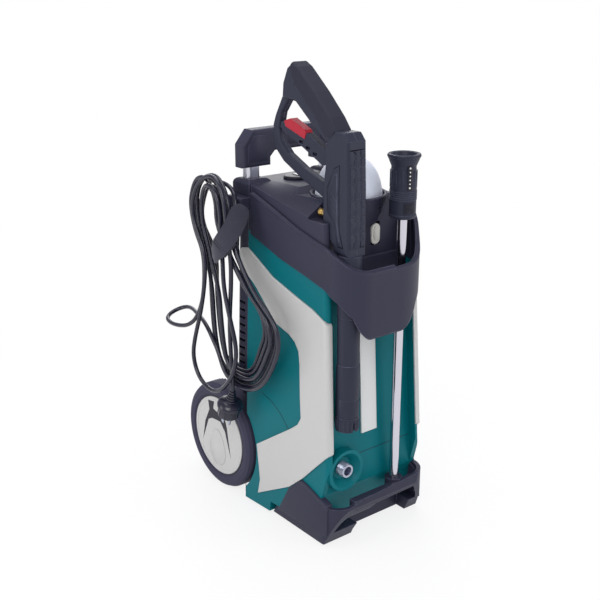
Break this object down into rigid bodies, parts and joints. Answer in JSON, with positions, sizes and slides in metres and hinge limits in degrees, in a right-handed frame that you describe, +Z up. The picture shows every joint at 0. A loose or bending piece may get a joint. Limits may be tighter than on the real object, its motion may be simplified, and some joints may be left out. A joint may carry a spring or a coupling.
{
  "type": "pressure washer",
  "caption": "Upright electric pressure washer on two wheels with telescoping handle, spray gun, lance, detergent bottle, accessory basket and stored mains cord.",
  "frame": {"origin": "on the floor, under the middle of the machine without its stored cord", "axes": "+Z up, -Y the front with the basket and outlet, +X to the right seen from behind the machine"},
  "size_m": [0.2858, 0.422, 0.737],
  "materials": {
    "teal_shell": "satin",
    "dark_plastic": "fine grain",
    "pale_plastic": "satin",
    "grey_plastic": "satin",
    "rubber": "matt",
    "tyre": "matt",
    "black_plastic": "satin",
    "gloss_black": "gloss",
    "switch_white": "gloss",
    "red_plastic": "gloss",
    "frosted": "frosted",
    "chrome": "polished",
    "handle_metal": "satin",
    "brass": "polished",
    "steel": "brushed",
    "motor_metal": "cast",
    "cord_black": "satin",
    "webbing": "woven"
  },
  "bodies": {
    "housing": {"front_housing": "teal_shell", "rear_housing": "dark_plastic", "top_cover": "dark_plastic", "accessory_basket": "dark_plastic", "side_trim_left": "pale_plastic", "side_trim_right": "pale_plastic", "front_strip": "grey_plastic", "base_frame": "dark_plastic", "front_feet": "rubber", "outlet_fitting": "chrome", "inlet_fitting": "brass", "bottle_cradle": "dark_plastic", "switch_bezel": "gloss_black", "handle_guides": "dark_plastic", "housing_screws": "steel", "motor_can": "motor_metal", "pump_housing": "motor_metal", "outlet_pipe": "steel", "inlet_pipe": "steel", "axle": "steel", "axle_clips": "steel", "cord_hook_upper": "dark_plastic", "cord_hook_lower": "dark_plastic", "cord_gland": "rubber", "cord_lead": "cord_black", "cord_hank": "cord_black", "cord_strap": "webbing", "plug": "cord_black"},
    "wheel_left": {"tyre_left": "tyre", "wheel_hub_left": "black_plastic", "hub_cap_left": "pale_plastic", "hub_inlay_left": "black_plastic"},
    "wheel_right": {"tyre_right": "tyre", "wheel_hub_right": "black_plastic", "hub_cap_right": "pale_plastic", "hub_inlay_right": "black_plastic"},
    "handle": {"handle_grip": "dark_plastic", "handle_tube_left": "handle_metal", "handle_tube_right": "handle_metal"},
    "gun": {"gun_shell_left": "dark_plastic", "gun_shell_right": "dark_plastic", "gun_barrel": "dark_plastic", "gun_inlet": "brass", "gun_valve": "brass", "trigger_pin": "steel", "gun_soft_grip": "rubber"},
    "gun_collar": {"gun_collar": "dark_plastic"},
    "trigger": {"gun_trigger": "dark_plastic"},
    "trigger_lock": {"trigger_lock": "red_plastic"},
    "lance": {"lance_tube": "chrome", "lance_foot": "grey_plastic", "lance_nozzle": "brass"},
    "lance_head": {"lance_head": "dark_plastic"},
    "bottle": {"detergent_bottle": "frosted"},
    "latch": {"bottle_latch": "pale_plastic"},
    "rocker": {"switch_rocker": "switch_white"},
    "rotor": {"rotor": "steel", "cooling_fan": "dark_plastic", "wobble_plate": "motor_metal"}
  },
  "joints": [
    {"name": "handle_slide", "type": "slide", "parent": "housing", "child": "handle", "axis": [0, 0, 1], "range_m": [0, 0.18]},
    {"name": "wheel_left_spin", "type": "hinge", "parent": "housing", "child": "wheel_left", "pos_m": [-0.099, 0.108, 0.094], "axis": [1, 0, 0], "continuous": true},
    {"name": "wheel_right_spin", "type": "hinge", "parent": "housing", "child": "wheel_right", "pos_m": [0.099, 0.108, 0.094], "axis": [1, 0, 0], "continuous": true},
    {"name": "gun_lift", "type": "slide", "parent": "housing", "child": "gun", "axis": [0, 0, 1], "range_m": [0, 0.34]},
    {"name": "gun_collar_twist", "type": "hinge", "parent": "gun", "child": "gun_collar", "pos_m": [-0.063, -0.1685, 0.2085], "axis": [0, 0, 1], "range_deg": [-60, 0]},
    {"name": "trigger_pull", "type": "hinge", "parent": "gun", "child": "trigger", "pos_m": [-0.063, -0.138, 0.606], "axis": [1, 0, 0], "range_deg": [0, 8], "stiffness_Nm_per_rad": 1.2, "springref_deg": -20.05},
    {"name": "trigger_lock_flip", "type": "hinge", "parent": "trigger", "child": "trigger_lock", "pos_m": [-0.063, -0.0715, 0.634], "axis": [1, 0, 0], "range_deg": [0, 12]},
    {"name": "lance_lift", "type": "slide", "parent": "housing", "child": "lance", "axis": [0, 0, 1], "range_m": [0, 0.45]},
    {"name": "lance_head_twist", "type": "hinge", "parent": "lance", "child": "lance_head", "pos_m": [0.04, -0.168, 0.55], "axis": [0, 0, 1], "range_deg": [-45, 45]},
    {"name": "bottle_lift", "type": "slide", "parent": "housing", "child": "bottle", "axis": [0, 0, 1], "range_m": [0, 0.08]},
    {"name": "bottle_latch_pivot", "type": "hinge", "parent": "housing", "child": "latch", "pos_m": [0.022, -0.1295, 0.4955], "axis": [-1, 0, 0], "range_deg": [0, 40]},
    {"name": "switch_rock", "type": "hinge", "parent": "housing", "child": "rocker", "pos_m": [0.004, 0.022, 0.5505], "axis": [0, 1, 0], "range_deg": [-8, 8]},
    {"name": "rotor_spin", "type": "hinge", "parent": "housing", "child": "rotor", "pos_m": [0, -0.044, 0.26], "axis": [0, 0, 1], "continuous": true}
  ]
}
